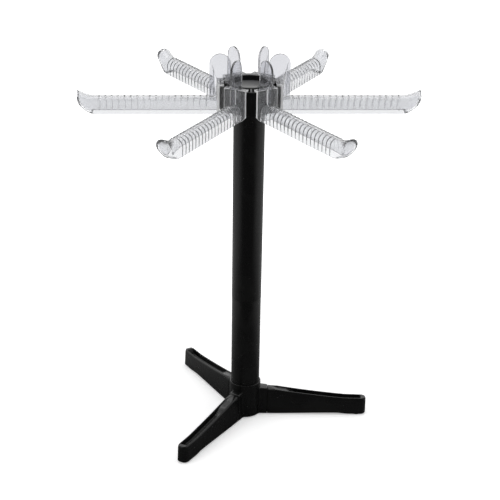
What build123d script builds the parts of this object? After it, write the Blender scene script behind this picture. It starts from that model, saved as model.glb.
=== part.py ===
from build123d import *
import os
from math import cos, radians, sin, sqrt

# A pasta drying rack that stands on three legs, in millimetres, +Z up.
# The origin is on the surface that it stands on, under the column's axis.
# Six clear arms hang by hooks on a black head, and each lifts off by its finger tab.
# An arm and a leg are each drawn along +X and then turned to their place.

# ---- Layout ----
ARM_COUNT = 6
LEG_COUNT = 3
ARM_TWIST = 2.65            # degrees that the arms stand anticlockwise of the legs
BUTTON_ANGLE = 263.0        # degrees round the column, where the lock button looks out

# ---- Fits ----
RUNNING_FIT = 0.05          # radial clearance of a shaft in its hole
SLIDE_FIT = 0.15            # clearance of a tongue in its slot, each side
SEAT_GAP = 0.2              # root plate to the head's flat

# ---- Base hub ----
HUB_CLEARANCE = 1.2         # hub's underside above the surface
HUB_RADIUS = 17.3
HUB_HEIGHT = 39.3
SOCKET_DEPTH = 22.5         # from the hub's top to the floor that the column stands on
STUB_REACH = 25.0           # from the axis to the stub's end face
STUB_HALF_WIDTH = 7.5
STUB_ROOT_HEIGHT = 31.6     # where the stub leaves the boss
HUB_ROUND = 0.7             # of the boss's top edge
HUB_BLEND = 3.5             # of the inner corners between the boss and the stubs
T_CEILING = 26.8            # height of the T slots inside the stubs
T_HEAD_INNER = 18.8         # from the axis to the T head's inner face
T_HEAD_DEPTH = 3.4
T_HEAD_HALF_WIDTH = 5.0
T_NECK_HALF_WIDTH = 2.5

# ---- Legs ----
LEG_REACH = 137.0           # from the axis to the leg's tip
LEG_ROOT_HALF_WIDTH = 7.5   # at the underside
LEG_TIP_HALF_WIDTH = 6.6    # at the underside
LEG_LEAN = 1.3              # how much the half-width shrinks over the root's height
LEG_ROOT_HEIGHT = 31.2      # at the stub, from the leg's underside
LEG_TIP_HEIGHT = 19.3       # of the tip, from the leg's underside
LEG_MID_REACH = 66.0
LEG_MID_HEIGHT = 25.0
LEG_SHOULDER_REACH = 112.0
LEG_SHOULDER_HEIGHT = 19.8
LEG_ARCH_REACH = 103.0      # where the underside is highest
LEG_ARCH_RISE = 1.2
LEG_TIP_FLAT = 0.5          # half of the flat left between the tip's round corners
LEG_TOP_ROUND = 2.0         # of the back's outer edges
TROUGH_START = 33.0
TROUGH_STEP_START = 48.0    # from here out the trough's floor drops
TROUGH_STEP_END = 59.0
TROUGH_SHALLOW = 1.4
TROUGH_DEPTH = 3.5
TROUGH_HALF_WIDTH = 3.1
TROUGH_END_WALL = 5.0       # from the trough's foot to the leg's tip
LEG_SKIN = 2.3
LEG_HOLLOW_START = 31.0
FOOT_SETBACK = 10.5         # from the leg's tip to the foot pad's centre
FOOT_HALF_LENGTH = 9.0      # of the leg's foot, along the leg
PAD_RADIUS = 5.2
PAD_POCKET = 1.4

# ---- Columns ----
LOWER_LENGTH = 102.7        # visible, from the hub to the seam
LOWER_FOOT_RADIUS = 15.7
LOWER_TOP_RADIUS = 16.0
LOWER_BORE_RADIUS = 12.0
LOWER_FLOOR = 8.0
UPPER_LENGTH = 219.8        # visible, from the seam to the head
UPPER_FOOT_RADIUS = 16.2
UPPER_TOP_RADIUS = 16.9
UPPER_BORE_RADIUS = 12.8
UPPER_FLOOR = 4.0
SPIGOT_LENGTH = 30.0
SPIGOT_BORE_RADIUS = 9.5
SPIGOT_SOLID = 15.0         # solid stretch at the spigot's top, for the lock button

# ---- Lock button and spring ----
BUTTON_DROP = 6.4           # below the seam
BUTTON_RADIUS = 1.7
BUTTON_RECESS = 0.3         # face below the column's surface
BUTTON_HEAD_RADIUS = 3.0
BUTTON_HEAD_LENGTH = 3.0
BUTTON_HEAD_GAP = 0.8       # from the button's shoulder to the lower column's bore
SPRING_BORE_END = 2.0       # from the axis
SPRING_WIRE_RADIUS = 0.3
SPRING_RADIUS = 2.1
SPRING_TURNS = 5

# ---- Top plug, pivot screw and washer ----
PLUG_LENGTH = 15.0
JOURNAL_RADIUS = 9.0
JOURNAL_LENGTH = 14.9
NECK_RADIUS = 4.0
NECK_LENGTH = 2.4
WASHER_RADIUS = 7.5
WASHER_THICKNESS = 1.0
SCREW_RADIUS = 2.0
SCREW_LENGTH = 16.0
SCREW_HEAD_RADIUS = 3.8
SCREW_HEAD_HEIGHT = 2.2
BASE_SCREW_RADIUS = 2.5
BASE_SCREW_HEAD_RADIUS = 4.4
BASE_WASHER_RADIUS = 5.2
BASE_RECESS_RADIUS = 6.0
BASE_RECESS_DEPTH = 5.6

# ---- Head ----
HEAD_HEIGHT = 25.8          # of the outer wall
BARREL_RADIUS = 33.6
FLAT_REACH = 31.7           # from the axis to the flat behind each arm
HEAD_WALL = 2.2
RING_OUTER_RADIUS = 26.6
RING_INNER_RADIUS = 19.5
RING_RISE = 2.7             # above the outer wall
CHANNEL_DEPTH = 16.8
WEB_THICKNESS = 2.0
WEB_DROP = 0.9              # web's top below the ring's top
HEAD_FLOOR = 2.2
PIVOT_BOSS_RADIUS = 12.0
POCKET_OUTER_RADIUS = 24.6
POCKET_RIB = 1.8
CAP_THICKNESS = 1.9
CAP_LEDGE = 2.5
CAP_SINK = 5.2              # cap's face below the ring's top

# ---- Arms ----
ARM_REACH = 180.3           # from the axis to the tip
ARM_DROP = 13.6             # arm's top below the head's outer wall
ARM_HEIGHT = 17.9
ARM_HALF_WIDTH = 8.25
ARM_WALL = 1.8
PLATE_THICKNESS = 2.4
PLATE_HALF_WIDTH = 12.5
PLATE_CHAMFER = 4.2
HOOK_THICKNESS = 2.0
TONGUE_THICKNESS = 1.9
TONGUE_HALF_WIDTH = 9.0
TONGUE_LENGTH = 14.5
TAB_THICKNESS = 2.4
TAB_INNER = 20.0            # from the axis to the tab's inner edge
TAB_WIDTH = 22.5
TAB_RISE = 31.7             # tab's top above the head's outer wall
TAB_CLEARANCE = 0.3         # tab above the ring's top
RIB_COUNT = 18
RIB_START = 45.0
RIB_PITCH = 6.61
RIB_WIDTH = 1.1
RIB_PROUD = 0.7
TIP_LENGTH = 23.3
TIP_RISE = 5.6
TIP_HALF_WIDTH = 8.8
BOW_RADIUS = 16.5           # of the end wall's bow, from the foot up to the tip

# ---- Heights that follow from the sizes above ----
hub_top = HUB_CLEARANCE + HUB_HEIGHT
socket_floor = hub_top - SOCKET_DEPTH
seam_z = hub_top + LOWER_LENGTH
button_z = seam_z - BUTTON_DROP
head_z = seam_z + UPPER_LENGTH
wall_top = head_z + HEAD_HEIGHT
ring_top = wall_top + RING_RISE
arm_top = wall_top - ARM_DROP
arm_bottom = arm_top - ARM_HEIGHT
plate_inner = FLAT_REACH + SEAT_GAP
plate_outer = plate_inner + PLATE_THICKNESS
foot_reach = LEG_REACH - FOOT_SETBACK
foot_start = foot_reach - FOOT_HALF_LENGTH
leg_top_half_width = LEG_TIP_HALF_WIDTH - LEG_LEAN * LEG_TIP_HEIGHT / LEG_ROOT_HEIGHT
tip_start = ARM_REACH - TIP_LENGTH
bow_start = ARM_REACH - BOW_RADIUS


def ring_of(count, start=0.0):
    """Angles of count equal places round the axis."""
    return [start + 360.0 / count * index for index in range(count)]


def upright(radius, low, high):
    """A cylinder about the axis between two heights."""
    return Pos(0, 0, low) * Cylinder(radius, high - low, align=(Align.CENTER, Align.CENTER, Align.MIN))


def block(x_low, x_high, half_width, z_low, z_high):
    """A block along +X, centred on the XZ plane."""
    size = (x_high - x_low, 2 * half_width, z_high - z_low)
    centre = ((x_low + x_high) / 2, 0, (z_low + z_high) / 2)
    return Pos(*centre) * Box(*size)


def taper(low_radius, high_radius, low, high):
    """A cone frustum about the axis between two heights."""
    centred = (Align.CENTER, Align.CENTER, Align.MIN)
    return Pos(0, 0, low) * Cone(low_radius, high_radius, high - low, align=centred)


def radial_rod(radius, start, end, height):
    """A rod along +X between two distances from the axis."""
    rod = Cylinder(radius, end - start, align=(Align.CENTER, Align.CENTER, Align.MIN))
    return Pos(start, 0, height) * Rot(0, 90, 0) * rod


def side_face(*edges):
    """A face on the XZ plane inside the given edges."""
    return Plane.XZ * make_face(Curve() + list(edges))


# ---- Base hub ----
def make_hub():
    stub_root_top = HUB_CLEARANCE + STUB_ROOT_HEIGHT
    stub_top_end = HUB_CLEARANCE + leg_height(STUB_REACH)
    stub_outline = Polyline(
        (0, HUB_CLEARANCE),
        (STUB_REACH, HUB_CLEARANCE),
        (STUB_REACH, stub_top_end),
        (HUB_RADIUS + HUB_BLEND, stub_root_top),
        (0, stub_root_top),
        close=True,
    )
    stub = extrude(side_face(stub_outline), STUB_HALF_WIDTH, both=True)
    stub &= extrude(leg_section(0, LEG_ROOT_HALF_WIDTH), STUB_REACH + 1)
    hub = upright(HUB_RADIUS, HUB_CLEARANCE, stub_root_top)
    for angle in ring_of(LEG_COUNT):
        hub += Rot(0, 0, angle) * stub
    corners = hub.edges().filter_by(
        lambda edge: edge.length > 0.8 * STUB_ROOT_HEIGHT
        and abs(edge.center().X ** 2 + edge.center().Y ** 2 - HUB_RADIUS ** 2) < HUB_RADIUS)
    hub = fillet(corners, HUB_BLEND)
    hub += upright(HUB_RADIUS, HUB_CLEARANCE, hub_top)
    ceiling = HUB_CLEARANCE + T_CEILING
    neck_start = T_HEAD_INNER + T_HEAD_DEPTH
    slot = block(T_HEAD_INNER, neck_start, T_HEAD_HALF_WIDTH, 0, ceiling)
    slot += block(neck_start, STUB_REACH + 1, T_NECK_HALF_WIDTH, 0, ceiling)
    for angle in ring_of(LEG_COUNT):
        hub -= Rot(0, 0, angle) * slot
    hub -= upright(LOWER_FOOT_RADIUS + RUNNING_FIT, socket_floor, hub_top)
    hub -= upright(BASE_SCREW_RADIUS + RUNNING_FIT, 0, socket_floor)
    hub -= upright(BASE_RECESS_RADIUS, 0, HUB_CLEARANCE + BASE_RECESS_DEPTH)
    top_edges = [edge for edge in hub.edges().filter_by(GeomType.CIRCLE)
                 if abs(edge.center().Z - hub_top) < 0.01 and edge.radius > HUB_RADIUS - 0.1]
    return fillet(top_edges, HUB_ROUND)


# ---- Legs ----
def leg_height(reach):
    """Height of the leg's top above its underside, on the arc through its three named points."""
    root = (STUB_REACH, LEG_ROOT_HEIGHT)
    middle = (LEG_MID_REACH, LEG_MID_HEIGHT)
    end = (LEG_SHOULDER_REACH, LEG_SHOULDER_HEIGHT)
    share_mid = (reach - middle[0]) * (reach - end[0]) / ((root[0] - middle[0]) * (root[0] - end[0]))
    share_root = (reach - root[0]) * (reach - end[0]) / ((middle[0] - root[0]) * (middle[0] - end[0]))
    share_end = (reach - root[0]) * (reach - middle[0]) / ((end[0] - root[0]) * (end[0] - middle[0]))
    return root[1] * share_mid + middle[1] * share_root + end[1] * share_end


def leg_section(reach, half_width):
    """The leg's cross-section at a reach: wide at the foot, with sides that lean in."""
    low = HUB_CLEARANCE
    high = HUB_CLEARANCE + LEG_ROOT_HEIGHT + 2
    top_half_width = half_width - LEG_LEAN * (high - low) / LEG_ROOT_HEIGHT
    outline = Polyline(
        (-half_width, low),
        (half_width, low),
        (top_half_width, high),
        (-top_half_width, high),
        close=True,
    )
    return Plane.YZ.offset(reach) * make_face(outline)


def leg_top_arc(drop, start, end):
    """The curve of the leg's top, lowered by drop, between two distances from the axis."""
    middle = (start + end) / 2
    places = [(reach, HUB_CLEARANCE + leg_height(reach) - drop) for reach in (start, middle, end)]
    return ThreePointArc(*places)


def make_trough():
    """What is cut from the leg's back: shallow at the hub, and deeper past a sloping step."""
    shallow = leg_top_arc(TROUGH_SHALLOW, TROUGH_START, TROUGH_STEP_START)
    deep = leg_top_arc(TROUGH_DEPTH, TROUGH_STEP_END, LEG_SHOULDER_REACH)
    slope = Line(shallow @ 1, deep @ 0)
    tip_floor = HUB_CLEARANCE + LEG_TIP_HEIGHT - TROUGH_DEPTH
    end = LEG_REACH - TROUGH_END_WALL
    above = HUB_CLEARANCE + LEG_ROOT_HEIGHT + TROUGH_DEPTH
    rest = Polyline(
        deep @ 1,
        (end - TROUGH_DEPTH, tip_floor),
        (end + TROUGH_DEPTH / 2, above),
        (TROUGH_START - TROUGH_DEPTH / 2, above),
        shallow @ 0,
    )
    return extrude(side_face(shallow, slope, deep, rest), TROUGH_HALF_WIDTH, both=True)


def make_hollow():
    """What is cut from the leg's underside, so that a skin is left round it."""
    drop = TROUGH_DEPTH + LEG_SKIN
    end = foot_start - LEG_SKIN
    roof = leg_top_arc(drop, LEG_HOLLOW_START, LEG_SHOULDER_REACH)
    rest = Polyline(
        roof @ 1,
        (end, HUB_CLEARANCE + LEG_SHOULDER_HEIGHT - drop),
        (end, 0),
        (LEG_HOLLOW_START, 0),
        roof @ 0,
    )
    return extrude(side_face(roof, rest), leg_top_half_width - LEG_SKIN, both=True)


def make_leg():
    root = STUB_REACH + SLIDE_FIT
    low = HUB_CLEARANCE
    top = leg_top_arc(0, root, LEG_SHOULDER_REACH)
    rest = Polyline(
        top @ 1,
        (LEG_REACH, low + LEG_TIP_HEIGHT),
        (LEG_REACH, low),
        (foot_start, low),
        (LEG_ARCH_REACH, low + LEG_ARCH_RISE),
        (root, low),
        top @ 0,
    )
    leg = extrude(side_face(top, rest), LEG_ROOT_HALF_WIDTH, both=True)
    leg &= loft([leg_section(root, LEG_ROOT_HALF_WIDTH), leg_section(LEG_REACH, LEG_TIP_HALF_WIDTH)])
    tip_edges = leg.edges().filter_by(
        lambda edge: edge.center().X > LEG_REACH - 0.1 and abs(edge.center().Y) > 1)
    leg = fillet(tip_edges, leg_top_half_width - LEG_TIP_FLAT)
    outer_edges = leg.edges().filter_by(
        lambda edge: edge.center().X > root + 0.1 and edge.center().Z > low + LEG_TIP_HEIGHT - 1)
    top_edges = [edge for edge in outer_edges if abs(edge.center().X - LEG_SHOULDER_REACH) > 0.1]
    leg = fillet(top_edges, LEG_TOP_ROUND)
    leg -= make_trough()
    leg -= make_hollow()
    ceiling = low + T_CEILING
    neck_start = T_HEAD_INNER + T_HEAD_DEPTH
    head_start = T_HEAD_INNER + SLIDE_FIT
    leg += block(head_start, neck_start - SLIDE_FIT, T_HEAD_HALF_WIDTH - SLIDE_FIT, low, ceiling)
    leg += block(neck_start - 2 * SLIDE_FIT, root + 1, T_NECK_HALF_WIDTH - SLIDE_FIT, low, ceiling)
    leg -= Pos(foot_reach, 0, 0) * upright(PAD_RADIUS + RUNNING_FIT, 0, low + PAD_POCKET)
    return leg


def make_foot_pad():
    pad = Pos(foot_reach, 0, 0) * upright(PAD_RADIUS, 0, HUB_CLEARANCE + PAD_POCKET)
    return chamfer(pad.edges().group_by(Axis.Z)[0], 0.4)


# ---- Columns ----
def make_lower_column():
    column = upright(LOWER_FOOT_RADIUS, socket_floor, hub_top)
    column += taper(LOWER_FOOT_RADIUS, LOWER_TOP_RADIUS, hub_top, seam_z)
    column -= upright(LOWER_BORE_RADIUS, socket_floor + LOWER_FLOOR, seam_z)
    column -= upright(BASE_SCREW_RADIUS + RUNNING_FIT, socket_floor, socket_floor + LOWER_FLOOR)
    hole = radial_rod(BUTTON_RADIUS + RUNNING_FIT, 0, LOWER_TOP_RADIUS + 2, button_z)
    column -= Rot(0, 0, BUTTON_ANGLE) * hole
    return column


def make_upper_column():
    spigot_radius = LOWER_BORE_RADIUS - RUNNING_FIT
    column = taper(UPPER_FOOT_RADIUS, UPPER_TOP_RADIUS, seam_z, head_z)
    column += upright(spigot_radius, seam_z - SPIGOT_LENGTH, seam_z)
    column -= upright(UPPER_BORE_RADIUS, seam_z + UPPER_FLOOR, head_z)
    column -= upright(SPIGOT_BORE_RADIUS, seam_z - SPIGOT_LENGTH, seam_z - SPIGOT_SOLID)
    bore = radial_rod(BUTTON_HEAD_RADIUS + RUNNING_FIT, SPRING_BORE_END, LOWER_BORE_RADIUS, button_z)
    column -= Rot(0, 0, BUTTON_ANGLE) * bore
    return column


def make_top_plug():
    plug = upright(UPPER_BORE_RADIUS - RUNNING_FIT, head_z - PLUG_LENGTH, head_z)
    journal_top = head_z + JOURNAL_LENGTH
    plug += upright(JOURNAL_RADIUS, head_z, journal_top)
    plug += upright(NECK_RADIUS, journal_top, journal_top + NECK_LENGTH)
    hole_end = journal_top + NECK_LENGTH - SCREW_LENGTH
    plug -= upright(SCREW_RADIUS + RUNNING_FIT, hole_end, journal_top + NECK_LENGTH)
    return plug


# ---- Lock button and spring ----
button_head_end = LOWER_BORE_RADIUS - BUTTON_HEAD_GAP
button_head_start = button_head_end - BUTTON_HEAD_LENGTH


def make_lock_button():
    share = 1 - BUTTON_DROP / LOWER_LENGTH
    surface = LOWER_FOOT_RADIUS + (LOWER_TOP_RADIUS - LOWER_FOOT_RADIUS) * share
    stem = radial_rod(BUTTON_RADIUS, button_head_start, surface - BUTTON_RECESS, button_z)
    head = radial_rod(BUTTON_HEAD_RADIUS, button_head_start, button_head_end, button_z)
    return Rot(0, 0, BUTTON_ANGLE) * (stem + head)


def make_lock_spring():
    length = button_head_start - SPRING_BORE_END - 2 * SPRING_WIRE_RADIUS
    path = Helix(pitch=length / SPRING_TURNS, height=length, radius=SPRING_RADIUS)
    section = Plane(origin=path @ 0, z_dir=path % 0) * Circle(SPRING_WIRE_RADIUS)
    coil = sweep(section, path=path, is_frenet=True)
    place = Pos(SPRING_BORE_END + SPRING_WIRE_RADIUS, 0, button_z) * Rot(0, 90, 0)
    return Rot(0, 0, BUTTON_ANGLE) * place * coil


# ---- Head ----
def flat_sided(radius, reach):
    """A round face with six flats, one behind each arm."""
    flats = RegularPolygon(reach, ARM_COUNT, major_radius=False, rotation=180 / ARM_COUNT)
    return Circle(radius) & flats


def make_head():
    barrel = extrude(flat_sided(BARREL_RADIUS, FLAT_REACH), HEAD_HEIGHT)
    channel_outline = flat_sided(BARREL_RADIUS - HEAD_WALL, FLAT_REACH - HEAD_WALL)
    channel_outline -= Circle(RING_OUTER_RADIUS)
    channel = Pos(0, 0, HEAD_HEIGHT - CHANNEL_DEPTH) * extrude(channel_outline, CHANNEL_DEPTH)
    head = barrel - channel
    head += upright(RING_OUTER_RADIUS, HEAD_HEIGHT, HEAD_HEIGHT + RING_RISE)
    web_top = HEAD_HEIGHT + RING_RISE - WEB_DROP
    web_end = BARREL_RADIUS - HEAD_WALL / 2
    web_low = HEAD_HEIGHT - CHANNEL_DEPTH
    web_side = Polyline(
        (RING_INNER_RADIUS + 1, web_low),
        (web_end, web_low),
        (web_end, HEAD_HEIGHT),
        (RING_OUTER_RADIUS, web_top),
        (RING_INNER_RADIUS + 1, web_top),
        close=True,
    )
    web = extrude(side_face(web_side), WEB_THICKNESS / 2, both=True)
    gap_angles = ring_of(ARM_COUNT, 180 / ARM_COUNT)
    for angle in gap_angles:
        head += Rot(0, 0, angle) * web
    cap_face = HEAD_HEIGHT + RING_RISE - CAP_SINK
    floor_low = JOURNAL_LENGTH + 0.1
    floor_top = floor_low + HEAD_FLOOR
    head -= upright(RING_INNER_RADIUS, cap_face - CAP_THICKNESS, HEAD_HEIGHT + RING_RISE)
    head -= upright(RING_INNER_RADIUS - CAP_LEDGE, floor_top, cap_face)
    head -= upright(JOURNAL_RADIUS + RUNNING_FIT, 0, floor_low)
    head -= upright(NECK_RADIUS + RUNNING_FIT, floor_low, floor_top)
    pocket = upright(POCKET_OUTER_RADIUS, 0, floor_low) - upright(PIVOT_BOSS_RADIUS, 0, floor_low)
    rib = block(PIVOT_BOSS_RADIUS - 1, POCKET_OUTER_RADIUS + 1, POCKET_RIB / 2, 0, floor_low)
    for angle in gap_angles:
        pocket -= Rot(0, 0, angle) * rib
    head -= pocket
    return Pos(0, 0, head_z) * Rot(0, 0, ARM_TWIST) * head


def make_head_cap():
    face = ring_top - CAP_SINK
    return upright(RING_INNER_RADIUS - RUNNING_FIT, face - CAP_THICKNESS, face)


# ---- Screws and washers ----
def make_washer(radius, hole, low, thickness):
    return upright(radius, low, low + thickness) - upright(hole, low, low + thickness)


def make_pivot_screw():
    seat = head_z + JOURNAL_LENGTH + NECK_LENGTH + WASHER_THICKNESS
    screw = upright(SCREW_RADIUS, seat - SCREW_LENGTH, seat)
    screw += upright(SCREW_HEAD_RADIUS, seat, seat + SCREW_HEAD_HEIGHT)
    slot = Pos(0, 0, seat + SCREW_HEAD_HEIGHT) * Box(2 * SCREW_RADIUS, 0.9, 1.8)
    return screw - slot - Rot(0, 0, 90) * slot


def make_base_screw():
    seat = HUB_CLEARANCE + BASE_RECESS_DEPTH - WASHER_THICKNESS
    screw = upright(BASE_SCREW_RADIUS, seat, socket_floor + LOWER_FLOOR - 1)
    screw += upright(BASE_SCREW_HEAD_RADIUS, seat - SCREW_HEAD_HEIGHT, seat)
    slot = Pos(0, 0, seat - SCREW_HEAD_HEIGHT) * Box(2 * BASE_SCREW_RADIUS, 1.1, 2.0)
    return screw - slot - Rot(0, 0, 90) * slot


# ---- Arms ----
def arch_face(half_width, top, bottom, reach):
    """The arm's cross-section: a half round over two upright sides."""
    spring_line = top - half_width
    sides = Polyline(
        (half_width, spring_line),
        (half_width, bottom),
        (-half_width, bottom),
        (-half_width, spring_line),
    )
    crown = ThreePointArc((-half_width, spring_line), (0, top), (half_width, spring_line))
    return Plane.YZ.offset(reach) * make_face(Curve() + [sides, crown])


def oval_face(half_width, top, bottom, corner, reach):
    """The arm's cross-section near its tip: a half round over sides that round in below."""
    spring_line = top - half_width
    lean = corner * (1 - sqrt(0.5))
    base = Line((-half_width + corner, bottom), (half_width - corner, bottom))
    right = ThreePointArc(base @ 1, (half_width - lean, bottom + lean), (half_width, bottom + corner))
    right_side = Line(right @ 1, (half_width, spring_line))
    crown = ThreePointArc(right_side @ 1, (0, top), (-half_width, spring_line))
    left_side = Line(crown @ 1, (-half_width, bottom + corner))
    left = ThreePointArc(left_side @ 1, (-half_width + lean, bottom + lean), base @ 0)
    edges = [base, right, right_side, crown, left_side, left]
    return Plane.YZ.offset(reach) * make_face(Curve() + edges)


def make_tip(inset):
    """The arm's upturned end, drawn in by inset: sections that rise, cut by the bow of its end wall."""
    stations = (
        # share of the tip's length, share of its rise, share of the full round below
        (0.0, 0.0, 0.06),
        (0.29, 0.02, 0.2),
        (0.56, 0.2, 0.6),
        (0.78, 0.5, 0.9),
        (1.0, 1.0, 1.0),
    )
    faces = []
    for along, rise, rounding in stations:
        half_width = ARM_HALF_WIDTH + (TIP_HALF_WIDTH - ARM_HALF_WIDTH) * along - inset
        top = arm_top + TIP_RISE * rise - inset
        corner = (ARM_HALF_WIDTH - inset - 0.1) * rounding
        faces.append(oval_face(half_width, top, arm_bottom + inset, corner, tip_start + TIP_LENGTH * along))
    radius = BOW_RADIUS - inset
    bow = ThreePointArc(
        (bow_start, arm_bottom + inset),
        (bow_start + radius * sqrt(0.5), arm_bottom + BOW_RADIUS - radius * sqrt(0.5)),
        (ARM_REACH - inset, arm_bottom + BOW_RADIUS),
    )
    outline = Polyline(
        bow @ 1,
        (ARM_REACH - inset, ring_top),
        (tip_start, ring_top),
        (tip_start, arm_bottom + inset),
        bow @ 0,
    )
    return loft(faces) & extrude(side_face(bow, outline), PLATE_HALF_WIDTH, both=True)


def make_arm():
    arm = extrude(arch_face(ARM_HALF_WIDTH, arm_top, arm_bottom, plate_outer), tip_start - plate_outer)
    arm += make_tip(0)
    rib_outline = arch_face(ARM_HALF_WIDTH + RIB_PROUD, arm_top + RIB_PROUD, arm_bottom, 0)
    rib = extrude(rib_outline, RIB_WIDTH)
    for index in range(RIB_COUNT):
        arm += Pos(RIB_START + index * RIB_PITCH - RIB_WIDTH / 2, 0, 0) * rib
    inner_half = ARM_HALF_WIDTH - ARM_WALL
    hollow_face = arch_face(inner_half, arm_top - ARM_WALL, arm_bottom - 1, plate_outer)
    arm -= extrude(hollow_face, bow_start - plate_outer)
    arm -= make_tip(ARM_WALL)
    plate_outline = Polyline(
        (-PLATE_HALF_WIDTH, wall_top + HOOK_THICKNESS),
        (-PLATE_HALF_WIDTH, arm_bottom + PLATE_CHAMFER),
        (-PLATE_HALF_WIDTH + PLATE_CHAMFER, arm_bottom),
        (PLATE_HALF_WIDTH - PLATE_CHAMFER, arm_bottom),
        (PLATE_HALF_WIDTH, arm_bottom + PLATE_CHAMFER),
        (PLATE_HALF_WIDTH, wall_top + HOOK_THICKNESS),
        close=True,
    )
    arm += extrude(Plane.YZ.offset(plate_inner) * make_face(plate_outline), PLATE_THICKNESS)
    tongue_outer = FLAT_REACH - HEAD_WALL - SLIDE_FIT * 2
    tongue_inner = tongue_outer - TONGUE_THICKNESS
    arm += block(tongue_inner, plate_inner + 1, PLATE_HALF_WIDTH, wall_top, wall_top + HOOK_THICKNESS)
    arm += block(tongue_inner, tongue_outer, TONGUE_HALF_WIDTH, wall_top - TONGUE_LENGTH, wall_top + 1)
    arm += make_tab()
    return arm


def make_tab():
    """The upright finger tab over the hook, with its web down to the arm's top."""
    outer = TAB_INNER + TAB_WIDTH
    round_radius = TAB_WIDTH / 2
    spring_line = wall_top + TAB_RISE - round_radius
    tab_foot = ring_top + TAB_CLEARANCE
    tab_line = Polyline(
        (outer, spring_line),
        (outer, arm_top - ARM_WALL / 2),
        (plate_outer - PLATE_THICKNESS / 2, arm_top - ARM_WALL / 2),
        (plate_outer - PLATE_THICKNESS / 2, wall_top + HOOK_THICKNESS / 2),
        (RING_OUTER_RADIUS + SLIDE_FIT * 2, wall_top + HOOK_THICKNESS / 2),
        (RING_OUTER_RADIUS + SLIDE_FIT * 2, tab_foot),
        (TAB_INNER, tab_foot),
        (TAB_INNER, spring_line),
    )
    crown = ThreePointArc(
        (TAB_INNER, spring_line), (TAB_INNER + round_radius, wall_top + TAB_RISE), (outer, spring_line))
    return extrude(side_face(tab_line, crown), TAB_THICKNESS / 2, both=True)


# ---- Every piece, in its place ----
pieces = {
    "base_hub": make_hub(),
    "lower_column": make_lower_column(),
    "upper_column": make_upper_column(),
    "lock_button": make_lock_button(),
    "lock_spring": make_lock_spring(),
    "top_plug": make_top_plug(),
    "head": make_head(),
    "head_cap": make_head_cap(),
    "pivot_washer": make_washer(
        WASHER_RADIUS, SCREW_RADIUS + RUNNING_FIT, head_z + JOURNAL_LENGTH + NECK_LENGTH, WASHER_THICKNESS),
    "pivot_screw": make_pivot_screw(),
    "base_washer": make_washer(
        BASE_WASHER_RADIUS, BASE_SCREW_RADIUS + RUNNING_FIT,
        HUB_CLEARANCE + BASE_RECESS_DEPTH - WASHER_THICKNESS, WASHER_THICKNESS),
    "base_screw": make_base_screw(),
}
leg = make_leg()
foot_pad = make_foot_pad()
for number, angle in enumerate(ring_of(LEG_COUNT), start=1):
    pieces[f"leg_{number}"] = Rot(0, 0, angle) * leg
    pieces[f"foot_pad_{number}"] = Rot(0, 0, angle) * foot_pad
arm = make_arm()
for number, angle in enumerate(ring_of(ARM_COUNT, ARM_TWIST), start=1):
    pieces[f"arm_{number}"] = Rot(0, 0, angle) * arm

os.makedirs("parts", exist_ok=True)
for node, shape in pieces.items():
    export_step(shape, f"parts/{node}.step")
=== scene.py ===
import math

import bmesh
import bpy
from mathutils import Matrix, Vector


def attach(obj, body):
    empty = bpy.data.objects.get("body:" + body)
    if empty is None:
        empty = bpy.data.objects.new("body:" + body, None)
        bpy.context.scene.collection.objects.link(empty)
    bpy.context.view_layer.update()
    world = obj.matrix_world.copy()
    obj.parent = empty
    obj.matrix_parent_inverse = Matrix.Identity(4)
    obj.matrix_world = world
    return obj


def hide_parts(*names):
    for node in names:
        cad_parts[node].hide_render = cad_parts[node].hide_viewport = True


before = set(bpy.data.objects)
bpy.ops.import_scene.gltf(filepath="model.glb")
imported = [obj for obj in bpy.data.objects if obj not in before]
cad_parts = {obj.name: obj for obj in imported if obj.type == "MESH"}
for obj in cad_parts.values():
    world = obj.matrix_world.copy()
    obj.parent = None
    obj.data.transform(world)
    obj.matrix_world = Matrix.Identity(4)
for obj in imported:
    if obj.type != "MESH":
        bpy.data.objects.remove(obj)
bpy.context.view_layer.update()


# Base hub: one black injection moulding, a boss that holds the column's foot, with three stubs
# blended into it that the legs plug into. Its corners are softly rounded, as the mould leaves them,
# and its satin skin shows faint handling marks.
MM = 0.001


def soften(corners, steps=4):
    """Points along a closed outline whose corners, (x, y, radius), are turned into arcs."""
    least_tangent = 0.05
    share_of_side = 0.48
    points = []
    count = len(corners)
    for index, (x, y, radius) in enumerate(corners):
        here = Vector((x, y))
        before = Vector(corners[index - 1][:2]) - here
        after = Vector(corners[(index + 1) % count][:2]) - here
        reach = 0.0
        if radius > 0 and before.length > 1e-6 and after.length > 1e-6:
            half_turn = before.angle(after) / 2
            wanted = radius / max(math.tan(half_turn), least_tangent)
            reach = min(wanted, share_of_side * before.length, share_of_side * after.length)
        if reach == 0.0:
            points += [(x, y)] * (steps + 1)
            continue
        start = here + before.normalized() * reach
        end = here + after.normalized() * reach
        for step in range(steps + 1):
            t = step / steps
            bend = start * (1 - t) ** 2 + here * (2 * t * (1 - t)) + end * t ** 2
            points.append((bend.x, bend.y))
    return points


def finish_mesh(name, bm, sharp=32):
    """Turns a bmesh in millimetres into a piece in metres, smooth but for edges sharper than sharp."""
    same_place = 0.0005
    bmesh.ops.remove_doubles(bm, verts=bm.verts, dist=same_place)
    bmesh.ops.dissolve_degenerate(bm, edges=bm.edges, dist=same_place)
    bmesh.ops.recalc_face_normals(bm, faces=bm.faces)
    bmesh.ops.scale(bm, vec=(MM, MM, MM), verts=bm.verts)
    mesh = bpy.data.meshes.new(name)
    bm.to_mesh(mesh)
    bm.free()
    mesh.shade_smooth()
    mesh.set_sharp_from_angle(angle=math.radians(sharp))
    piece = bpy.data.objects.new(name, mesh)
    bpy.context.scene.collection.objects.link(piece)
    return piece


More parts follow.
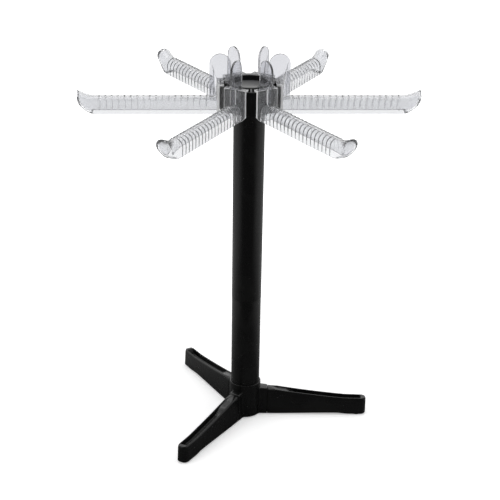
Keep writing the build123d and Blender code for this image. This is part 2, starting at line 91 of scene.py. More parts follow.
def skin(bm, rings, around=False):
    """Faces between rings of points that follow each other; around joins the last to the first."""
    rows = [[bm.verts.new(point) for point in ring] for ring in rings]
    pairs = list(zip(rows, rows[1:]))
    if around:
        pairs.append((rows[-1], rows[0]))
    for low, high in pairs:
        for index in range(len(low)):
            following = (index + 1) % len(low)
            bm.faces.new((low[index], low[following], high[following], high[index]))
    if not around:
        bm.faces.new(list(reversed(rows[0])))
        bm.faces.new(rows[-1])


def turned(bm, outline, segments=96, flats=0, first_flat=0.0):
    """Turns an outline of (radius, height) about the column's axis.
    With flats, a point's third number is how far the flats stand from the axis there."""
    rings = []
    for segment in range(segments):
        angle = 2 * math.pi * segment / segments
        ring = []
        for point in outline:
            radius = point[0]
            if flats and len(point) > 2:
                off = (angle - math.radians(first_flat)) % (2 * math.pi / flats)
                off = min(off, 2 * math.pi / flats - off)
                radius = min(radius, point[2] / math.cos(off))
            ring.append((radius * math.cos(angle), radius * math.sin(angle), point[1]))
        rings.append(ring)
    skin(bm, rings, around=True)


def handling_group():
    """Smudges and fine grain that moulding and handling leave on plastic and plated metal."""
    group = bpy.data.node_groups.new("handling_marks", "ShaderNodeTree")
    face = group.interface
    inputs = (("Smudge Scale", 40.0), ("Grain Scale", 1800.0), ("Roughness", 0.3), ("Variation", 0.1))
    for title, value in inputs:
        face.new_socket(title, in_out="INPUT", socket_type="NodeSocketFloat").default_value = value
    for title in ("Roughness", "Height", "Smudge"):
        face.new_socket(title, in_out="OUTPUT", socket_type="NodeSocketFloat")
    nodes, links = group.nodes, group.links
    given = nodes.new("NodeGroupInput")
    result = nodes.new("NodeGroupOutput")
    place = nodes.new("ShaderNodeTexCoord")
    smudge = nodes.new("ShaderNodeTexNoise")
    smudge.inputs["Detail"].default_value = 3.0
    smudge.inputs["Distortion"].default_value = 0.8
    links.new(place.outputs["Object"], smudge.inputs["Vector"])
    links.new(given.outputs["Smudge Scale"], smudge.inputs["Scale"])
    grain = nodes.new("ShaderNodeTexNoise")
    grain.inputs["Detail"].default_value = 2.0
    links.new(place.outputs["Object"], grain.inputs["Vector"])
    links.new(given.outputs["Grain Scale"], grain.inputs["Scale"])
    soft = nodes.new("ShaderNodeMapRange")
    soft.interpolation_type = "SMOOTHSTEP"
    soft.inputs["From Min"].default_value = 0.42
    soft.inputs["From Max"].default_value = 0.72
    links.new(smudge.outputs["Fac"], soft.inputs["Value"])
    spread = nodes.new("ShaderNodeMath")
    spread.operation = "MULTIPLY_ADD"
    links.new(soft.outputs["Result"], spread.inputs[0])
    links.new(given.outputs["Variation"], spread.inputs[1])
    links.new(given.outputs["Roughness"], spread.inputs[2])
    links.new(spread.outputs["Value"], result.inputs["Roughness"])
    links.new(grain.outputs["Fac"], result.inputs["Height"])
    links.new(soft.outputs["Result"], result.inputs["Smudge"])
    return group


handling_marks = handling_group()


def place_marks(nodes, smudge, grain, roughness, variation):
    """The handling marks in a material's own nodes, with that material's scales and roughness."""
    marks = nodes.new("ShaderNodeGroup")
    marks.node_tree = handling_marks
    marks.inputs["Smudge Scale"].default_value = smudge
    marks.inputs["Grain Scale"].default_value = grain
    marks.inputs["Roughness"].default_value = roughness
    marks.inputs["Variation"].default_value = variation
    return marks


def relief(nodes, links, marks, shader, strength, depth):
    """Raises the marks' grain on a shader's surface by a depth in metres."""
    bump = nodes.new("ShaderNodeBump")
    bump.inputs["Strength"].default_value = strength
    bump.inputs["Distance"].default_value = depth
    links.new(marks.outputs["Height"], bump.inputs["Height"])
    links.new(bump.outputs["Normal"], shader.inputs["Normal"])


def moulded_plastic(name, colour, marked, roughness, variation, grain, depth, smudge=40.0, coat=0.0):
    """An opaque moulded plastic: a plain colour that smudges lift a little, under a fine grain."""
    material = bpy.data.materials.new(name)
    material.use_nodes = True
    nodes, links = material.node_tree.nodes, material.node_tree.links
    shader = nodes["Principled BSDF"]
    marks = place_marks(nodes, smudge, grain, roughness, variation)
    tint = nodes.new("ShaderNodeMix")
    tint.data_type = "RGBA"
    tint.inputs["A"].default_value = (*colour, 1)
    tint.inputs["B"].default_value = (*marked, 1)
    links.new(marks.outputs["Smudge"], tint.inputs["Factor"])
    links.new(tint.outputs["Result"], shader.inputs["Base Color"])
    links.new(marks.outputs["Roughness"], shader.inputs["Roughness"])
    relief(nodes, links, marks, shader, strength=0.35, depth=depth)
    shader.inputs["Coat Weight"].default_value = coat
    shader.inputs["Coat Roughness"].default_value = 0.08
    return material


satin_black = moulded_plastic(
    "satin_black_plastic", colour=(0.0022, 0.0022, 0.0022), marked=(0.004, 0.004, 0.0038),
    roughness=0.26, variation=0.09, grain=1500.0, depth=0.00003)


def dress(piece, material, body, slot, *nodes):
    """Gives a piece its material and its body, and puts it in place of the CAD nodes named."""
    if not piece.data.materials:
        piece.data.materials.append(material)
    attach(piece, body)
    if nodes:
        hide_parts(*nodes)


HUB_FOOT = 1.2
HUB_RADIUS = 17.3
HUB_TOP = 40.5
SOCKET_RADIUS = 15.75
SOCKET_FLOOR = 18.0
RECESS_RADIUS = 5.8
RECESS_TOP = 6.8
BASE_SCREW_HOLE = 2.56

bm = bmesh.new()
turned(bm, soften([
    (RECESS_RADIUS, HUB_FOOT, 0.3),
    (HUB_RADIUS, HUB_FOOT, 0.8),
    (HUB_RADIUS, HUB_TOP, 0.7),
    (SOCKET_RADIUS, HUB_TOP, 0.25),
    (SOCKET_RADIUS, SOCKET_FLOOR, 0.2),
    (BASE_SCREW_HOLE, SOCKET_FLOOR, 0.1),
    (BASE_SCREW_HOLE, RECESS_TOP, 0.1),
    (RECESS_RADIUS, RECESS_TOP, 0.2),
]), segments=120)
hub_body = finish_mesh("hub_boss", bm)

LEG_ANGLES = (0.0, 120.0, 240.0)
LEG_SIDE = 7.5
LEG_TIP = 137.0
LEG_NARROWING = 0.9
SIDE_LEAN = 1.3
LEAN_HEIGHT = 31.0
STUB_ROOT = 14.0
STUB_END = 25.0
STUB_TOP = 32.8
STUB_FALL = 0.4
MOUTH_ROUND = 0.6
MOUTH_INSET = 0.5
BLEND = 3.5
BLEND_REACH = HUB_RADIUS + BLEND
BLEND_DEPTH = 2.97
ROOT_BULGE = 16.5
STUB_SHOULDER = 2.4
BLEND_SHOULDER = 1.2
FOOT_LIFT = 0.3
T_CEILING = 28.0
T_HEAD_HALF = 5.0
T_NECK_HALF = 2.5
T_NECK_START = 22.0


def leg_side(reach, height):
    """Half the width of a leg or a stub: it narrows towards the tip, and its sides lean in."""
    foot = LEG_SIDE - LEG_NARROWING * max(0.0, reach - STUB_END) / (LEG_TIP - STUB_END)
    return foot - SIDE_LEAN * (height - HUB_FOOT) / LEAN_HEIGHT


blend_end = math.sqrt(BLEND_REACH ** 2 - (LEG_SIDE + BLEND) ** 2)
mouth_start = STUB_END - MOUTH_ROUND
stub_stations = [STUB_ROOT + (blend_end - STUB_ROOT) * step / 8 for step in range(9)]
stub_stations += [BLEND_REACH, 22.5, mouth_start, 24.75, 24.93, STUB_END]

bm = bmesh.new()
for angle in LEG_ANGLES:
    turn = Matrix.Rotation(math.radians(angle), 3, "Z")
    rings = []
    for reach in stub_stations:
        ease = max(0.0, (reach - mouth_start) / MOUTH_ROUND)
        inset = MOUTH_INSET * (1 - math.sqrt(max(0.0, 1 - ease * ease)))
        fall = STUB_FALL * max(0.0, reach - BLEND_REACH) / (STUB_END - BLEND_REACH)
        top = STUB_TOP - fall - inset
        foot = HUB_FOOT + FOOT_LIFT * inset
        short = max(0.0, blend_end - reach)
        flare = BLEND - math.sqrt(BLEND ** 2 - min(short, BLEND_DEPTH) ** 2)
        low, high = LEG_SIDE - inset + flare, leg_side(reach, top) - inset + flare
        slot = T_NECK_HALF if reach > T_NECK_START else T_HEAD_HALF
        shoulder = STUB_SHOULDER if reach > blend_end else BLEND_SHOULDER
        loop = soften([
            (0, top, 0),
            (high, top, shoulder),
            (low, foot, 0.7),
            (slot, foot, 0.1),
            (slot, T_CEILING, 0.1),
            (-slot, T_CEILING, 0.1),
            (-slot, foot, 0.1),
            (-low, foot, 0.7),
            (-high, top, shoulder),
        ])
        ring = []
        for y, z in loop:
            bulge = math.sqrt(ROOT_BULGE ** 2 - y * y) - math.sqrt(ROOT_BULGE ** 2 - low ** 2)
            bulge *= min(1.0, short / (blend_end - STUB_ROOT))
            ring.append(turn @ Vector((reach + bulge, y, z)))
        rings.append(ring)
    skin(bm, rings)
stubs = finish_mesh("hub_stubs", bm)

for piece in (hub_body, stubs):
    dress(piece, satin_black, "stand", "black_plastic", "base_hub")


# Legs: three black mouldings that plug up into the hub's slots and run out to a rounded foot.
# Each is a shell, open below, with a trough sunk in its back between two thin rims; the trough
# starts shallow at the hub and steps down a third of the way out.
def ease_in(value, start, end):
    """A smooth step from 0 at start to 1 at end."""
    t = min(1.0, max(0.0, (value - start) / (end - start)))
    return t * t * (3 - 2 * t)


LEG_START = 25.15
LEG_MID_REACH = 66.0
LEG_SHOULDER_REACH = 112.0
LEG_ROOT_HEIGHT = 31.2
LEG_MID_HEIGHT = 25.0
LEG_SHOULDER_HEIGHT = 19.8
LEG_TIP_FALL = 0.5
ROOT_ROUND = 1.05
ROOT_INSET = 0.45
TIP_ROUND = 6.1
TIP_BROW = 2.6
BROW_LIFT = 0.4
ARCH = 1.2
ARCH_STARTS, ARCH_ENDS = (25.0, 104.0), (103.0, 118.0)
TROUGH_HALF = 4.1
TROUGH_SHARE = 0.68
TROUGH_OPENS, TROUGH_ENDS = (26.0, 38.0), (127.5, 132.0)
SHALLOW_DEPTH = 1.4
SHALLOW_STARTS = (30.0, 37.0)
STEP_DEPTH = 4.4
STEP_STARTS = (46.0, 60.0)
CAVE_HALF = 3.9
CAVE_WALL = 2.0
CAVE_ROOF = 2.3
CAVE_STARTS, CAVE_ENDS = (29.5, 31.0), (113.5, 114.5)
# The least half widths keep the rings at the rounded tip from closing up.
LEAST_LOW, LEAST_HIGH, LEAST_TROUGH, LEAST_CAVE = 0.45, 0.4, 0.15, 0.3
# A tongue's head and neck, each as its inner reach, outer reach and half width.
TONGUE_BLOCKS = ((18.75, 21.85, 4.85), (21.6, 25.6, 2.35))
TONGUE_GAP = 0.02


def leg_top(reach):
    """Height of a leg's top, on the curve from the hub's stub to the tip."""
    if reach > LEG_SHOULDER_REACH:
        fall = LEG_TIP_FALL * (reach - LEG_SHOULDER_REACH) / (LEG_TIP - LEG_SHOULDER_REACH)
        return HUB_FOOT + LEG_SHOULDER_HEIGHT - fall
    near, middle, far = STUB_END, LEG_MID_REACH, LEG_SHOULDER_REACH
    root_share = (reach - middle) * (reach - far) / ((near - middle) * (near - far))
    mid_share = (reach - near) * (reach - far) / ((middle - near) * (middle - far))
    shoulder_share = (reach - near) * (reach - middle) / ((far - near) * (far - middle))
    height = HUB_FOOT + LEG_ROOT_HEIGHT * root_share
    height += LEG_MID_HEIGHT * mid_share
    height += LEG_SHOULDER_HEIGHT * shoulder_share
    return height


tip_centre = LEG_TIP - TIP_ROUND
leg_stations = [LEG_START, 25.3, 25.6, LEG_START + ROOT_ROUND]
leg_stations += [28 + 2.0 * index for index in range(51)]
leg_stations += [tip_centre + TIP_ROUND * math.sin(math.radians(3 * turn)) for turn in range(1, 30)]

bm = bmesh.new()
rings = []
for reach in leg_stations:
    root = max(0.0, (LEG_START + ROOT_ROUND - reach) / ROOT_ROUND)
    root_inset = ROOT_INSET * root * root
    past = max(0.0, (reach - tip_centre) / TIP_ROUND)
    share = math.sqrt(max(0.0, 1 - past * past))
    edge = max(0.0, (reach - (LEG_TIP - TIP_BROW)) / TIP_BROW)
    brow = TIP_BROW * (1 - math.sqrt(max(0.0, 1 - edge * edge)))
    top = leg_top(reach) - root_inset - brow
    rise = min(ease_in(reach, *ARCH_STARTS), 1 - ease_in(reach, *ARCH_ENDS))
    foot = HUB_FOOT + ARCH * rise + FOOT_LIFT * root_inset + BROW_LIFT * brow
    low = max(LEAST_LOW, (leg_side(reach, HUB_FOOT) - root_inset) * share)
    high = max(LEAST_HIGH, (leg_side(reach, top) - root_inset) * share)
    depth = SHALLOW_DEPTH * ease_in(reach, *SHALLOW_STARTS) + STEP_DEPTH * ease_in(reach, *STEP_STARTS)
    depth *= 1 - ease_in(reach, *TROUGH_ENDS)
    trough = max(LEAST_TROUGH, min(TROUGH_HALF, TROUGH_SHARE * high) * ease_in(reach, *TROUGH_OPENS))
    rim = high - trough
    hollow = ease_in(reach, *CAVE_STARTS) * (1 - ease_in(reach, *CAVE_ENDS))
    cave = max(LEAST_CAVE, min(CAVE_HALF, low - CAVE_WALL))
    ceiling = foot + (top - depth - CAVE_ROOF - foot) * hollow
    half = [
        (trough - 0.1 * depth, top - depth, 1.2),
        (trough + 0.04 * rim, top - 0.1 * depth, 0.4),
        (trough + 0.25 * rim, top, 0.5),
        (high - 0.4 * rim, top - 0.3, 1.0),
        (high - 0.1 * rim, top - 1.5, 1.2),
        (high + 0.12, top - 3.6, 1.5),
        (low, foot, 1.0),
        (cave, foot, 0.3),
        (cave, ceiling, 0.6),
    ]
    other_half = [(-y, z, radius) for y, z, radius in reversed(half)]
    loop = soften([(0, top - depth, 0)] + half + other_half, steps=5)
    rings.append([Vector((reach, y, z)) for y, z in loop])
skin(bm, rings)
for inner, outer, half in TONGUE_BLOCKS:
    tongue = [(inner, -half), (outer, -half), (outer, half), (inner, half)]
    skin(bm, [[Vector((x, y, z)) for x, y in tongue] for z in (HUB_FOOT, T_CEILING - TONGUE_GAP)])
leg_model = finish_mesh("leg_1_shell", bm)


def spun_copy(model, name, degrees):
    """A copy of a piece with a mesh of its own, turned about the column's axis."""
    copy = bpy.data.objects.new(name, model.data.copy())
    bpy.context.scene.collection.objects.link(copy)
    copy.data.transform(Matrix.Rotation(math.radians(degrees), 4, "Z"))
    return copy


for number, angle in enumerate(LEG_ANGLES, start=1):
    leg = leg_model if number == 1 else spun_copy(leg_model, f"leg_{number}_shell", angle)
    dress(leg, satin_black, f"leg_{number}", "black_plastic", f"leg_{number}")


# Foot pads: soft black rubber discs pressed into round pockets under the legs' tips.
# They are matt, with a rounded rim that stands on the table.
PAD_RADIUS = 5.2
PAD_HEIGHT = 2.6
PAD_REACH = 126.5

pad_rubber = moulded_plastic(
    "pad_rubber", colour=(0.012, 0.012, 0.012), marked=(0.022, 0.022, 0.021),
    roughness=0.75, variation=0.15, grain=900.0, depth=0.00006, smudge=300.0)

for number, angle in enumerate(LEG_ANGLES, start=1):
    bm = bmesh.new()
    turned(bm, soften([
        (0.0, 0.0, 0),
        (PAD_RADIUS, 0.0, 0.5),
        (PAD_RADIUS, PAD_HEIGHT, 0.2),
        (0.0, PAD_HEIGHT, 0),
    ]), segments=48)
    pad = finish_mesh(f"foot_pad_{number}_disc", bm)
    seat = Matrix.Translation((PAD_REACH * MM, 0, 0))
    pad.data.transform(Matrix.Rotation(math.radians(angle), 4, "Z") @ seat)
    dress(pad, pad_rubber, f"leg_{number}", "pad_rubber", f"foot_pad_{number}")


# Column: two black moulded tubes, the upper a little wider, so a fine step shows where its spigot
# enters the lower one. Both taper slightly towards the foot, and their mouths are softened.
SEAM = 143.2
HEAD_FOOT = 363.0
LOWER_FOOT_RADIUS = 15.7
LOWER_TOP_RADIUS = 16.0
LOWER_BORE = 12.0
LOWER_FLOOR = 26.0
LOWER_SCREW_HOLE = 2.6
UPPER_FOOT_RADIUS = 16.2
UPPER_TOP_RADIUS = 16.9
UPPER_BORE = 12.8
SPIGOT_RADIUS = 11.95
SPIGOT_BORE = 9.5
SPIGOT_END = SEAM - 30.0
SPIGOT_CEILING = SEAM - 15.0
UPPER_FLOOR = SEAM + 4.0

bm = bmesh.new()
turned(bm, soften([
    (LOWER_FOOT_RADIUS, SOCKET_FLOOR, 0.4),
    (LOWER_FOOT_RADIUS, HUB_TOP, 0),
    (LOWER_TOP_RADIUS, SEAM, 0.45),
    (LOWER_BORE, SEAM, 0.2),
    (LOWER_BORE, LOWER_FLOOR, 0.4),
    (LOWER_SCREW_HOLE, LOWER_FLOOR, 0.2),
    (LOWER_SCREW_HOLE, SOCKET_FLOOR, 0.1),
]), segments=128)
lower_tube = finish_mesh("lower_tube", bm)
dress(lower_tube, satin_black, "stand", "black_plastic", "lower_column")

bm = bmesh.new()
turned(bm, soften([
    (SPIGOT_BORE, SPIGOT_END, 0.2),
    (SPIGOT_RADIUS, SPIGOT_END, 0.4),
    (SPIGOT_RADIUS, SEAM, 0.1),
    (UPPER_FOOT_RADIUS, SEAM, 0.45),
    (UPPER_TOP_RADIUS, HEAD_FOOT, 0.35),
    (UPPER_BORE, HEAD_FOOT, 0.2),
    (UPPER_BORE, UPPER_FLOOR, 0.5),
    (0.0, UPPER_FLOOR, 0),
    (0.0, SPIGOT_CEILING, 0),
    (SPIGOT_BORE, SPIGOT_CEILING, 0.4),
]), segments=128)
upper_tube = finish_mesh("upper_tube", bm)
dress(upper_tube, satin_black, "stand", "black_plastic", "upper_column")


# Lock button: a small black moulded pin with a rounded face, set in the lower tube below the seam.
# The wire spring behind it pushes it out until its shoulder meets the tube.
BUTTON_ANGLE = 263.0
BUTTON_HEIGHT = SEAM - 6.4
BUTTON_BACK = 8.2
SHOULDER_RADIUS = 3.0
SHOULDER_FACE = 11.2
PIN_RADIUS = 1.7
PIN_FACE = 15.65
PIN_CROWN = 15.68

bm = bmesh.new()
turned(bm, soften([
    (0.0, BUTTON_BACK, 0),
    (SHOULDER_RADIUS, BUTTON_BACK, 0.2),
    (SHOULDER_RADIUS, SHOULDER_FACE, 0.2),
    (PIN_RADIUS, SHOULDER_FACE, 0.1),
    (PIN_RADIUS, PIN_FACE, 0.5),
    (0.0, PIN_CROWN, 0),
]), segments=40)
button = finish_mesh("lock_pin", bm)
raised = Matrix.Translation((0, 0, BUTTON_HEIGHT * MM))
lie = Matrix.Rotation(math.radians(BUTTON_ANGLE), 4, "Z") @ raised
button.data.transform(lie @ Matrix.Rotation(math.radians(90), 4, "Y"))
button_black = moulded_plastic(
    "button_black_plastic", colour=(0.002, 0.002, 0.002), marked=(0.004, 0.004, 0.004),
    roughness=0.4, variation=0.1, grain=2500.0, depth=0.00002)
dress(button, button_black, "lock_button", "black_plastic", "lock_button")


# Head: a black moulded drum that turns on the column's journal. Six flats back the arms' root
# plates, a groove round its top takes their hooks, and a thin web stands in the groove between
# each two arms, with a rib on the dish's wall behind it.
ARM_TWIST = 2.65
ARM_STEP = 60.0
ARM_ANGLES = [ARM_TWIST + ARM_STEP * index for index in range(6)]
WALL_TOP = 388.8
RING_TOP = 391.5
DRUM_RADIUS, DRUM_FLAT = 33.6, 31.7
GROOVE_RADIUS, GROOVE_FLAT = 31.4, 29.5
GROOVE_FLOOR = WALL_TOP - 16.8
RING_RADIUS = 26.6
DISH_RADIUS = 19.5
CAP_FACE = RING_TOP - 5.2
CAP_THICKNESS = 1.9
WELL_RADIUS = 17.0
WELL_FLOOR = 380.2
PIVOT_HOLE = 4.05
JOURNAL_BORE = 9.05
JOURNAL_TOP = 378.0
WEB_START, WEB_SHOULDER, WEB_END = 20.0, 31.2, 32.6
WEB_OUTER_TOP = WALL_TOP - 0.1
WEB_SLOPE_TOP = RING_TOP - 0.7
WEB_INNER_TOP = RING_TOP - 0.4
WEB_HALF = 1.0
RIB_FACE = 18.6
RIB_BACK = DISH_RADIUS + 0.3
RIB_HALF = 0.8
RIB_FOOT, RIB_TOP = CAP_FACE + 0.02, RING_TOP - 0.7

head_black = moulded_plastic(
    "head_black_plastic", colour=(0.002, 0.002, 0.002), marked=(0.004, 0.004, 0.0038),
    roughness=0.22, variation=0.08, grain=1500.0, depth=0.00003)


def flat_at(corners):
    """Softened corners of a turned outline whose fourth number is where the flats stand."""
    softened = soften([corner[:3] for corner in corners])
    per_corner = len(softened) // len(corners)
    result = []
    for index, (radius, height) in enumerate(softened):
        corner = corners[index // per_corner]
        if len(corner) > 3:
            result.append((radius, height, corner[3] - (corner[0] - radius)))
        else:
            result.append((radius, height))
    return result


bm = bmesh.new()
turned(bm, flat_at([
    (JOURNAL_BORE, HEAD_FOOT, 0.3),
    (DRUM_RADIUS, HEAD_FOOT, 0.7, DRUM_FLAT),
    (DRUM_RADIUS, WALL_TOP, 0.45, DRUM_FLAT),
    (GROOVE_RADIUS, WALL_TOP, 0.4, GROOVE_FLAT),
    (GROOVE_RADIUS, GROOVE_FLOOR, 0.4, GROOVE_FLAT),
    (RING_RADIUS, GROOVE_FLOOR, 0.4),
    (RING_RADIUS, RING_TOP, 0.55),
    (DISH_RADIUS, RING_TOP, 0.55),
    (DISH_RADIUS, CAP_FACE - CAP_THICKNESS, 0.2),
    (WELL_RADIUS, CAP_FACE - CAP_THICKNESS, 0.3),
    (WELL_RADIUS, WELL_FLOOR, 0.5),
    (PIVOT_HOLE, WELL_FLOOR, 0.2),
    (PIVOT_HOLE, JOURNAL_TOP, 0.1),
    (JOURNAL_BORE, JOURNAL_TOP, 0.1),
]), segments=240, flats=6, first_flat=ARM_TWIST)
drum = finish_mesh("head_drum", bm)

web_side = soften([
    (WEB_START, GROOVE_FLOOR, 0),
    (WEB_END, GROOVE_FLOOR, 0),
    (WEB_END, WEB_OUTER_TOP, 0.3),
    (WEB_SHOULDER, WEB_OUTER_TOP, 0.5),
    (RING_RADIUS, WEB_SLOPE_TOP, 0.9),
    (WEB_START, WEB_INNER_TOP, 0),
])
rib_plan = soften([
    (RIB_BACK, -WEB_HALF, 0),
    (RIB_FACE, -RIB_HALF, 0.5),
    (RIB_FACE, RIB_HALF, 0.5),
    (RIB_BACK, WEB_HALF, 0),
])
bm = bmesh.new()
for angle in ARM_ANGLES:
    turn = Matrix.Rotation(math.radians(angle + ARM_STEP / 2), 3, "Z")
    skin(bm, [[turn @ Vector((x, y, z)) for x, z in web_side] for y in (-WEB_HALF, WEB_HALF)])
    skin(bm, [[turn @ Vector((x, y, z)) for x, y in rib_plan] for z in (RIB_FOOT, RIB_TOP)])
webs = finish_mesh("head_webs", bm)
for piece in (drum, webs):
    dress(piece, head_black, "head", "black_plastic", "head")


# Head cap: a smooth, dark plastic disc pressed into the head's dish over the pivot screw.
# It is very slightly domed, and its rim is rounded.
CAP_RADIUS = 19.45
CAP_DOME_START = 16.0

cap_black = moulded_plastic(
    "cap_polished_plastic", colour=(0.075, 0.075, 0.077), marked=(0.095, 0.095, 0.095),
    roughness=0.5, variation=0.08, grain=1200.0, depth=0.00002, coat=0.1)

bm = bmesh.new()
turned(bm, soften([
    (0.0, CAP_FACE - CAP_THICKNESS, 0),
    (CAP_RADIUS, CAP_FACE - CAP_THICKNESS, 0.2),
    (CAP_RADIUS, CAP_FACE - 0.2, 0.4),
    (CAP_DOME_START, CAP_FACE - 0.12, 2.0),
    (0.0, CAP_FACE, 0),
]), segments=96)
cap = finish_mesh("cap_disc", bm)
dress(cap, cap_black, "head", "cap_plastic", "head_cap")


# Arms: each is one clear moulding: a half-round channel, open below, with fine ribs across it and
# an end that turns up, on a root plate with a hook over the head's rim and a finger tab above.
# It hangs by the hook and lifts straight off. Its rounded edges and root beads get a whiter, cloudier
# plastic as a painted highlight.
def clear_plastic(name, colour, roughness, variation, clearness, wave):
    """Clear moulded plastic: slightly wavy, its colour darkened as painted shade where it is seen edge-on,
    with a light shadow.
    """
    painted_edge_shade_share = 0.12
    material = bpy.data.materials.new(name)
    material.use_nodes = True
    nodes, links = material.node_tree.nodes, material.node_tree.links
    shader = nodes["Principled BSDF"]
    edge_on = nodes.new("ShaderNodeLayerWeight")
    edge_on.inputs["Blend"].default_value = 0.5
    rim = nodes.new("ShaderNodeMapRange")
    rim.interpolation_type = "SMOOTHSTEP"
    rim.inputs["From Min"].default_value = 0.64
    rim.inputs["From Max"].default_value = 0.82
    links.new(edge_on.outputs["Facing"], rim.inputs["Value"])
    # Painted shade: the colour falls to a small share of itself where the surface is seen edge-on.
    tint = nodes.new("ShaderNodeMix")
    tint.data_type = "RGBA"
    tint.inputs["A"].default_value = (*colour, 1)
    tint.inputs["B"].default_value = (*[painted_edge_shade_share * value for value in colour], 1)
    links.new(rim.outputs["Result"], tint.inputs["Factor"])
    links.new(tint.outputs["Result"], shader.inputs["Base Color"])
    shader.inputs["Transmission Weight"].default_value = clearness
    shader.inputs["IOR"].default_value = 1.5
    marks = place_marks(nodes, smudge=55.0, grain=120.0, roughness=roughness, variation=variation)
    links.new(marks.outputs["Roughness"], shader.inputs["Roughness"])
    relief(nodes, links, marks, shader, strength=0.12, depth=wave)
    path = nodes.new("ShaderNodeLightPath")
    thin = nodes.new("ShaderNodeBsdfTransparent")
    thin.inputs["Color"].default_value = (0.9, 0.91, 0.915, 1)
    lighter_shadow = nodes.new("ShaderNodeMixShader")
    links.new(path.outputs["Is Shadow Ray"], lighter_shadow.inputs["Fac"])
    links.new(shader.outputs["BSDF"], lighter_shadow.inputs[1])
    links.new(thin.outputs["BSDF"], lighter_shadow.inputs[2])
    links.new(lighter_shadow.outputs["Shader"], nodes["Material Output"].inputs["Surface"])
    return material


clear = clear_plastic(
    "clear_moulded_plastic", colour=(0.79, 0.795, 0.81),
    roughness=0.02, variation=0.06, clearness=0.95, wave=0.00005)
tab_frost = clear_plastic(
    "frosted_tab_plastic", colour=(0.72, 0.725, 0.755),
    roughness=0.05, variation=0.08, clearness=0.96, wave=0.00005)
# Painted shade: a dark grey clear plastic for the finger tab's narrow rim faces.
painted_shade_tab_rim = clear_plastic(
    "tab_rim_plastic", colour=(0.3, 0.3, 0.31),
    roughness=0.03, variation=0.05, clearness=0.95, wave=0.00002)
# Painted highlight: a whiter, cloudier plastic for the rounded plate edges and root beads.
painted_highlight_edge = clear_plastic(
    "painted_highlight_edge_plastic", colour=(0.9, 0.9, 0.9),
    roughness=0.35, variation=0.1, clearness=0.3, wave=0.0002)

PLATE_NEAR = 31.9
PLATE_FAR = 34.3
ARM_TOP = WALL_TOP - 13.6
ARM_FOOT = ARM_TOP - 17.9
ARM_HALF = 8.25
ARM_WALL = 1.8
ARM_TIP = 180.3
TIP_START = 157.0
TIP_SPREAD = 0.55
TIP_RISE = 5.6
TIP_RISE_SPAN = (0.2, 1.5)
BOW = 16.5
BOW_START = ARM_TIP - BOW
TIP_ROUNDING_SPAN = (0.15, 0.75)
FOOT_CORNER = 0.4
FOOT_FLAT_HALF = 0.2
CROWN_SHARE = 0.38
CORNER_STEPS = 8
CROWN_STEPS = 14
ROOT_REACHES = [PLATE_NEAR + 1.0, 36.0, 40.0]
RIB_REACHES = [45.0 + 6.61 * index for index in range(18)]
TIP_REACHES = [159.5, 161.5, BOW_START]
BOW_TURNS = list(range(6, 84, 6)) + [82, 85, 87.5, 89.5]
# Across a rib: how far from its middle, and how far it stands proud there.
RIB_SHAPE = ((-0.8, 0.0), (-0.55, 0.32), (-0.3, 0.62), (0.0, 0.7), (0.3, 0.62), (0.55, 0.32), (0.8, 0.0))
PLATE_HALF = 12.5
PLATE_CORNER = 4.2
PLATE_ROUND = 0.3
HOOK_BACK = 27.3
HOOK_FRONT = 34.2
HOOK_TOP = WALL_TOP + 2.0
HOOK_HALF = PLATE_HALF - 0.02
TONGUE_BACK = 27.35
TONGUE_FRONT = 29.2
TONGUE_FOOT = WALL_TOP - 14.5
TONGUE_HALF = 9.0
TONGUE_ROUND = 0.4
OVERLAP_TOP = WALL_TOP + 1
TAB_NEAR = 20.0
TAB_FAR = 42.5
TAB_TOP = 420.5
TAB_ROOT = ARM_TOP - 0.9
TAB_BACK = PLATE_NEAR + 1.2
TAB_NOTCH = 27.0
TAB_NOTCH_TOP = RING_TOP + 0.3
TAB_HALF = 1.2
TAB_ROUND = 0.35
TAB_STEPS = 24
BEAD = 0.65
BEAD_SIDES = 8
TAB_BEAD_SIDE = 1.15
TAB_BEAD_FOOT, TAB_BEAD_TOP = ARM_TOP - 0.2, WALL_TOP + 1.9


def arm_half(reach):
    """Half the channel's width at a reach: it spreads a little towards the tip."""
    along = max(0.0, (reach - TIP_START) / (ARM_TIP - TIP_START))
    return ARM_HALF + TIP_SPREAD * ease_in(along, 0.0, 0.7)


def arm_section(reach, rib, inset):
    """Half of the channel's outline at a reach, from its foot's middle up to the crown.
    Points are (sideways, height). A rib stands proud of the skin, and an inset lies inside it."""
    along = max(0.0, (reach - TIP_START) / (ARM_TIP - TIP_START))
    half = arm_half(reach) - inset
    rise = TIP_RISE * ease_in(along, *TIP_RISE_SPAN) / ease_in(1.0, *TIP_RISE_SPAN)
    top = ARM_TOP + rise - inset
    radius = BOW - inset
    just_inside = 0.9999 * radius
    past = min(max(0.0, reach - BOW_START), just_inside)
    foot = ARM_FOOT + BOW - math.sqrt(radius * radius - past * past)
    corner_growth = half - FOOT_FLAT_HALF - FOOT_CORNER
    corner = FOOT_CORNER + corner_growth * ease_in(along, *TIP_ROUNDING_SPAN)
    round_centre = top - half
    widest = max(round_centre, foot + CROWN_SHARE * (top - foot))
    side = half
    if widest > round_centre:
        side = math.sqrt(max(0.1, half ** 2 - (widest - round_centre) ** 2))
    drop = min(corner, widest - foot)
    across = min(corner, side - FOOT_FLAT_HALF)
    points = []
    for step in range(CORNER_STEPS + 1):
        turn = math.radians(90 * step / CORNER_STEPS)
        points.append((side - across + across * math.sin(turn), foot + drop - drop * math.cos(turn)))
    points.append((side, foot + drop + (widest - foot - drop) * 0.5))
    if rib:
        points = [(y + rib * min(1.0, z - foot), z) for y, z in points]
    for step in range(CROWN_STEPS + 1):
        turn = math.radians(90 * step / CROWN_STEPS)
        points.append(((side + rib) * math.cos(turn), widest + (top + rib - widest) * math.sin(turn)))
    return points


